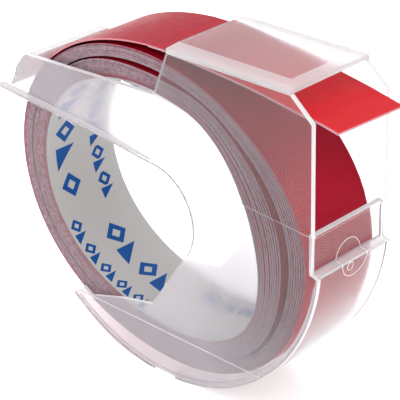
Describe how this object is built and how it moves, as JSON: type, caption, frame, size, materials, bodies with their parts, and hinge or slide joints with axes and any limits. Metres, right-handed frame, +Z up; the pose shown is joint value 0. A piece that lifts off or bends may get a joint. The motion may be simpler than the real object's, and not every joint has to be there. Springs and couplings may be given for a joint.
{
  "type": "embossing tape cassette",
  "caption": "Clear side-plated cassette around a loose coil of red embossing tape, its free end led out under a bevelled lid.",
  "frame": {"origin": "axis of the tape coil at mid-width, which is the middle of the overall box", "axes": "+X out of the mouth along the free tape, +Y to the far side plate, +Z up to the lid"},
  "size_m": [0.0592, 0.0142, 0.047],
  "materials": {
    "clear_plastic": "clear moulded plastic, slightly hazy",
    "red_vinyl": "glossy red vinyl",
    "release_liner": "smooth release paper with plain blue marks"
  },
  "bodies": {
    "holder": {"side_plate_near": "clear_plastic", "side_plate_far": "clear_plastic", "lid": "clear_plastic", "front_wall": "clear_plastic", "rim_wall": "clear_plastic", "arm_end_wall": "clear_plastic"},
    "coil": {"outer_windings": "red_vinyl", "inner_windings": "red_vinyl", "core_liner": "release_liner", "loose_turn": "red_vinyl"},
    "leader": {"tape_leader": "red_vinyl", "leader_liner": "release_liner"}
  },
  "joints": [
    {"name": "coil_turn", "type": "hinge", "parent": "holder", "child": "coil", "pos_m": [0, 0, 0], "axis": [0, 1, 0], "range_deg": [0, 6]},
    {"name": "tape_feed", "type": "slide", "parent": "holder", "child": "leader", "axis": [0.9925, 0, -0.1219], "range_m": [0, 0.0025]}
  ],
  "couplings": [
    {"joint": "tape_feed", "follows": "coil_turn", "m_per_rad": 0.0223}
  ]
}
